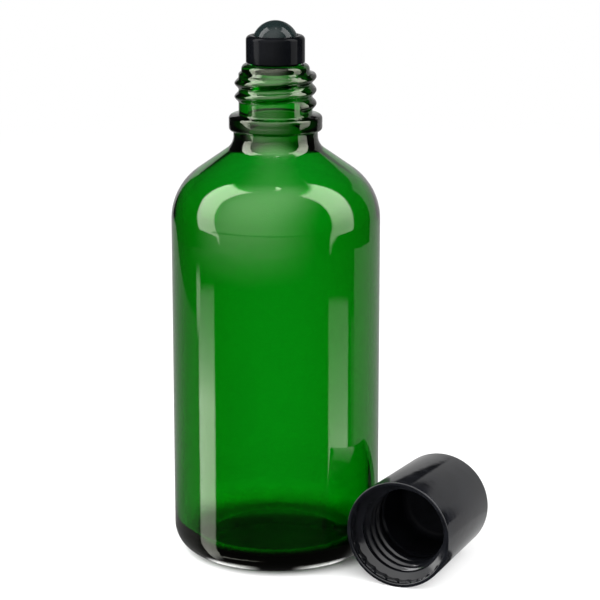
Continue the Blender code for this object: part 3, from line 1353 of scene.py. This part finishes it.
@dataclass(frozen=True)
class PaintedTableLight:
    """Painted light on the table, seen only by gloss: a stretch of a fan, in degrees and metres."""

    azimuth: float
    half_width: float
    near: float
    far: float
    strength: float
    across: float = 0.0
    towards: float = 0.0
    full_radius: float = 110.0 * MM
    fall: float = 0.0
    edge: float = 1.5
    end_edge: float = 3.0 * MM

    def add(self, tree: Tree, across: Socket, towards: Socket) -> Socket:
        """Adds the patch to the table.

        Args:
            tree: The table's nodes.
            across: Distance to the right of the bottle's axis.
            towards: Distance from it towards the camera.

        Returns:
            Strength of the patch.
        """
        side = add_node(tree, "Math", {0: across, 1: self.across}, operation="SUBTRACT")[0]
        front = add_node(tree, "Math", {0: towards, 1: self.towards}, operation="SUBTRACT")[0]
        place = add_node(tree, "CombineXYZ", {"X": side, "Y": front})["Vector"]
        radius = add_node(tree, "VectorMath", {0: place}, operation="LENGTH")["Value"]
        angle = bearing(tree, side, front)
        left, right = self.azimuth - self.half_width, self.azimuth + self.half_width
        fan = window(tree, angle, left, right, self.edge)
        ring = window(tree, radius, self.near, self.far, self.end_edge)
        share = add_node(tree, "Math", {0: self.full_radius, 1: radius}, operation="DIVIDE")[0]
        level = add_node(tree, "Math", {0: share, 1: self.fall}, operation="POWER")[0]
        capped = add_node(tree, "Math", {0: level, 1: 1.0}, operation="MINIMUM")[0]
        lit = add_node(tree, "Math", {0: fan, 1: ring}, operation="MULTIPLY")[0]
        full = add_node(tree, "Math", {0: lit, 1: self.strength}, operation="MULTIPLY")[0]
        return add_node(tree, "Math", {0: full, 1: capped}, operation="MULTIPLY")[0]


@dataclass
class StudioFloor:
    """Plain white table top, softly shadowed; gloss sees its painted reflection, dark in front."""

    foot: Vector
    camera_azimuth: float = CAMERA_AZIMUTH
    half_size: float = 3.0
    drop: float = 0.05 * MM
    colour: str = "#f4f4f4"
    # The shadow, which fades with the distance from the bottle's axis.
    shade_radius: float = 19.0 * MM
    clear_radius: float = 60.0 * MM
    near_share: float = 0.72
    far_radius: float = 600.0 * MM
    paint_roughness: float = 0.5
    # Painted reflection, seen only by gloss: a pale stretch behind the set. By degrees from the
    # camera's side, the plain level holds up to its limit and the brighter far level from its own
    # limit on.
    back_sheen_half_width: float = 248.0 * MM
    back_sheen_side_edge: float = 8.0 * MM
    back_sheen_depth: float = 600.0 * MM
    back_sheen_front: float = 14.0 * MM
    back_sheen_end_edge: float = 4.0 * MM
    back_sheen_level: float = 0.2
    back_sheen_level_to: float = 110.0
    back_sheen_far_level: float = 0.55
    back_sheen_far_level_from: float = 170.0
    # Painted shade and painted sheen, seen only by gloss: the white table round it shows dark, and
    # the overhead light's glow fades in towards the rim.
    front_level: float = 0.03
    mirrored_radius: float = 350.0 * MM
    ramp_start: float = 285.0 * MM
    ramp_end: float = 375.0 * MM
    ramp_power: float = 2.0
    # Painted shade, seen only by gloss: a thin dark band far out, between two azimuths in degrees.
    shade_band_near: float = 565.0 * MM
    shade_band_far: float = 910.0 * MM
    shade_band_edge: float = 60.0 * MM
    shade_band_left: float = -72.0
    shade_band_right: float = 60.0
    shade_band_side_edge: float = 1.0
    shade_band_density: float = 0.4
    overhead: Overhead = field(default_factory=Overhead)
    painted_lights: tuple[PaintedTableLight, ...] = (
        # Painted light for the left strip down the glass, its foot and its thin top.
        PaintedTableLight(
            azimuth=-83.5,
            half_width=11.7,
            near=48.0 * MM,
            far=280.0 * MM,
            strength=5.3,
            across=-8.0 * MM,
            towards=16.8 * MM,
            full_radius=143.0 * MM,
            fall=2.4,
            end_edge=14.0 * MM,
        ),
        PaintedTableLight(
            azimuth=-83.5,
            half_width=11.7,
            near=8.0 * MM,
            far=50.0 * MM,
            strength=2.5,
            across=-8.0 * MM,
            towards=16.8 * MM,
        ),
        PaintedTableLight(
            azimuth=-95.0,
            half_width=3.0,
            near=225.0 * MM,
            far=305.0 * MM,
            strength=2.2,
            across=-8.0 * MM,
            towards=16.8 * MM,
            end_edge=22.0 * MM,
        ),
        # Painted light for the right strip.
        PaintedTableLight(
            azimuth=73.2,
            half_width=13.5,
            near=55.0 * MM,
            far=265.0 * MM,
            strength=3.1,
            across=5.8 * MM,
            towards=16.6 * MM,
            fall=1.4,
            end_edge=9.0 * MM,
        ),
        # Painted glints: two pools and a fine arc in the heel.
        PaintedTableLight(
            azimuth=-33.0,
            half_width=15.0,
            near=19.4 * MM,
            far=21.4 * MM,
            strength=3.4,
            edge=9.0,
            end_edge=0.7 * MM,
        ),
        PaintedTableLight(
            azimuth=32.0,
            half_width=15.0,
            near=19.4 * MM,
            far=21.3 * MM,
            strength=3.0,
            edge=9.0,
            end_edge=0.7 * MM,
        ),
        PaintedTableLight(
            azimuth=-32.0,
            half_width=18.0,
            near=24.4 * MM,
            far=25.0 * MM,
            strength=1.6,
            edge=9.0,
            end_edge=0.3 * MM,
        ),
        # Painted reflection of the table beside the cap, near and far.
        PaintedTableLight(
            azimuth=140.0,
            half_width=60.0,
            near=0.0,
            far=45.0 * MM,
            strength=0.55,
            across=32.6 * MM,
            towards=14.6 * MM,
        ),
        PaintedTableLight(
            azimuth=132.0,
            half_width=36.0,
            near=40.0 * MM,
            far=420.0 * MM,
            strength=0.45,
            across=32.6 * MM,
            towards=14.6 * MM,
        ),
    )

    def build(self) -> Piece:
        """Builds the floor.

        Returns:
            The floor.
        """
        work = bmesh.new()
        bmesh.ops.create_grid(work, x_segments=8, y_segments=8, size=self.half_size)
        floor = placed_piece("studio_floor", work, Matrix.Translation((0.0, 0.0, -self.drop)))
        floor.data.materials.append(self.material())
        return floor

    def mirrored(self, tree: Tree, place: Socket) -> Socket:
        """Adds the table's painted reflection: shade in front, pale behind and patches of light.

        Args:
            tree: The table's nodes.
            place: Place on the table, from the bottle's axis.

        Returns:
            Shader for mirrored rays, clear where they go on into the room.
        """
        across, towards, _ = turned_parts(tree, place, self.camera_azimuth)
        azimuth = bearing(tree, across, towards)
        aside = add_node(tree, "Math", {0: azimuth}, operation="ABSOLUTE")[0]
        radius = add_node(tree, "VectorMath", {0: place}, operation="LENGTH")["Value"]

        # Painted reflection of a pale stretch behind the set, seen only by gloss.
        back = add_node(
            tree,
            "MapRange",
            {
                "Value": aside,
                "From Min": self.back_sheen_level_to,
                "From Max": self.back_sheen_far_level_from,
                "To Min": self.back_sheen_level,
                "To Max": self.back_sheen_far_level,
            },
        )["Result"]
        back_sheen_side = self.back_sheen_half_width
        wide = window(tree, across, -back_sheen_side, back_sheen_side, self.back_sheen_side_edge)
        deep = window(tree, towards, -self.back_sheen_depth, self.back_sheen_front, self.back_sheen_end_edge)
        back_sheen = add_node(tree, "Math", {0: wide, 1: deep}, operation="MULTIPLY")[0]
        shown = add_node(tree, "Math", {0: back_sheen, 1: back}, operation="MULTIPLY")[0]
        # Painted shade: the white table shows dark to gloss.
        shown = add_node(tree, "Math", {0: shown, 1: self.front_level}, operation="MAXIMUM")[0]

        # Painted sheen of the overhead light, growing towards the rim.
        nearing = add_node(
            tree,
            "MapRange",
            {"Value": radius, "From Min": self.ramp_start, "From Max": self.ramp_end},
        )["Result"]
        ramp = add_node(tree, "Math", {0: nearing, 1: self.ramp_power}, operation="POWER")[0]
        glow = self.overhead.across(tree, azimuth, 1.0)
        faded = add_node(
            tree, "Math", {0: glow, 1: self.overhead.low_share}, operation="MULTIPLY"
        )[0]
        sheen = add_node(tree, "Math", {0: ramp, 1: faded}, operation="MULTIPLY")[0]
        inside = add_node(
            tree, "Math", {0: radius, 1: self.mirrored_radius}, operation="LESS_THAN"
        )[0]
        sheen = add_node(tree, "Math", {0: sheen, 1: inside}, operation="MULTIPLY")[0]
        shown = add_node(tree, "Math", {0: shown, 1: sheen}, operation="MAXIMUM")[0]
        # Painted patches of light, seen only by gloss.
        for patch in self.painted_lights:
            one = patch.add(tree, across, towards)
            shown = add_node(tree, "Math", {0: shown, 1: one}, operation="MAXIMUM")[0]

        # Painted shade: a thin dark band far out, seen only by gloss.
        ring = window(tree, radius, self.shade_band_near, self.shade_band_far, self.shade_band_edge)
        fan = window(tree, azimuth, self.shade_band_left, self.shade_band_right, self.shade_band_side_edge)
        shade_band = add_node(tree, "Math", {0: ring, 1: fan}, operation="MULTIPLY")[0]
        thin = add_node(tree, "Math", {0: shade_band, 1: self.shade_band_density}, operation="MULTIPLY")[0]
        opaque = add_node(tree, "Math", {0: inside, 1: thin}, operation="MAXIMUM")[0]
        solid = add_node(tree, "Math", {0: opaque, 1: back_sheen}, operation="MAXIMUM")[0]
        light = add_node(tree, "Emission", {"Color": WHITE, "Strength": shown})["Emission"]
        clear = add_node(tree, "BsdfTransparent", {"Color": WHITE})["BSDF"]
        return add_node(tree, "MixShader", {0: solid, 1: clear, 2: light})["Shader"]

    def material(self) -> bpy.types.Material:
        """White paint that the camera and the glass see as evenly lit, but for the shadow.

        Returns:
            The floor's material.
        """
        material = new_material("matt_white_table_paint")
        tree = material.node_tree
        place = add_node(tree, "TexCoord")["Object"]
        from_axis = add_node(
            tree, "VectorMath", {0: place, 1: self.foot}, operation="SUBTRACT"
        )["Vector"]
        radius = add_node(tree, "VectorMath", {0: from_axis}, operation="LENGTH")["Value"]
        even = 0.0
        for start, end, gain in (
            (self.shade_radius, self.clear_radius, self.near_share),
            (self.clear_radius, self.far_radius, 1.0 - self.near_share),
        ):
            step = add_node(
                tree,
                "MapRange",
                {"Value": radius, "From Min": start, "From Max": end, "To Max": gain},
                interpolation_type="SMOOTHSTEP",
            )["Result"]
            even = add_node(tree, "Math", {0: even, 1: step}, operation="ADD")[0]
        rays = add_node(tree, "LightPath")
        camera, refracted = rays[Ray.CAMERA.value], rays[Ray.TRANSMISSION.value]
        seen = add_node(tree, "Math", {0: camera, 1: refracted}, operation="MAXIMUM")[0]
        share = add_node(tree, "Math", {0: even, 1: seen}, operation="MULTIPLY")[0]
        paint = add_node(
            tree,
            "BsdfDiffuse",
            {"Color": linear_colour(self.colour), "Roughness": self.paint_roughness},
        )["BSDF"]
        white = add_node(tree, "Emission", {"Color": WHITE, "Strength": 1.0})["Emission"]
        plain = add_node(tree, "MixShader", {0: share, 1: paint, 2: white})["Shader"]
        # Gloss sees the painted reflection instead of the lit paint.
        unbent = add_node(tree, "Math", {0: 1.0, 1: refracted}, operation="SUBTRACT")[0]
        gloss = add_node(
            tree, "Math", {0: rays[Ray.GLOSSY.value], 1: unbent}, operation="MULTIPLY"
        )[0]
        mixed = add_node(
            tree, "MixShader", {0: gloss, 1: plain, 2: self.mirrored(tree, from_axis)}
        )["Shader"]
        add_node(tree, "OutputMaterial", {"Surface": mixed})
        return material


@dataclass
class StudioCamera:
    """Camera that looks down on the set from the front right."""

    foot: Vector
    distance: float = 520.0 * MM
    height: float = 185.0 * MM
    azimuth: float = math.radians(CAMERA_AZIMUTH)
    look_azimuth: float = math.radians(23.473)
    look_down: float = math.radians(13.70)
    focal_length: float = 142.0
    sensor_width: float = 36.0
    clip_near: float = 0.01
    clip_far: float = 20.0

    def build(self) -> Piece:
        """Adds the camera and makes it the scene's own.

        Returns:
            The camera.
        """
        data = bpy.data.cameras.new("studio_camera")
        data.lens = self.focal_length
        data.sensor_width = self.sensor_width
        data.clip_start = self.clip_near
        data.clip_end = self.clip_far
        camera = bpy.data.objects.new("studio_camera", data)
        right, back = math.sin(self.azimuth), math.cos(self.azimuth)
        way = Vector((self.distance * right, -self.distance * back, self.height))
        camera.location = self.foot + way
        camera.rotation_euler = (0.5 * HALF_TURN - self.look_down, 0.0, self.look_azimuth)
        bpy.context.scene.collection.objects.link(camera)
        bpy.context.scene.camera = camera
        return camera


def report(pieces: Iterable[Piece]) -> None:
    """Logs each piece with its number of faces.

    Args:
        pieces: The pieces just built.
    """
    for piece in pieces:
        LOG.info("%s: %d faces", piece.name, len(piece.data.polygons))


def main() -> None:
    """Builds the studio and the four pieces."""
    logging.basicConfig(level=logging.INFO, format="%(name)s %(message)s")
    low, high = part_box("glass_bottle")
    foot = Vector((0.5 * (low.x + high.x), 0.5 * (low.y + high.y), low.z))
    StudioCamera(foot).build()
    StudioRoom().build()
    report([StudioFloor(foot).build()])

    standing = Matrix.Translation(foot)
    bottle = GlassBottle()
    report([bottle.build(standing)])
    fitment = RollerFitment(lip_height=bottle.height, bore_radius=bottle.bore_radius)
    report([fitment.build_housing(standing), fitment.build_ball(standing)])
    report([ScrewCap().build()])

    scene = bpy.context.scene
    scene.view_settings.view_transform = "Standard"
    scene.cycles.max_bounces = LIGHT_BOUNCES
    scene.cycles.transmission_bounces = LIGHT_BOUNCES


if __name__ == "__main__":
    main()
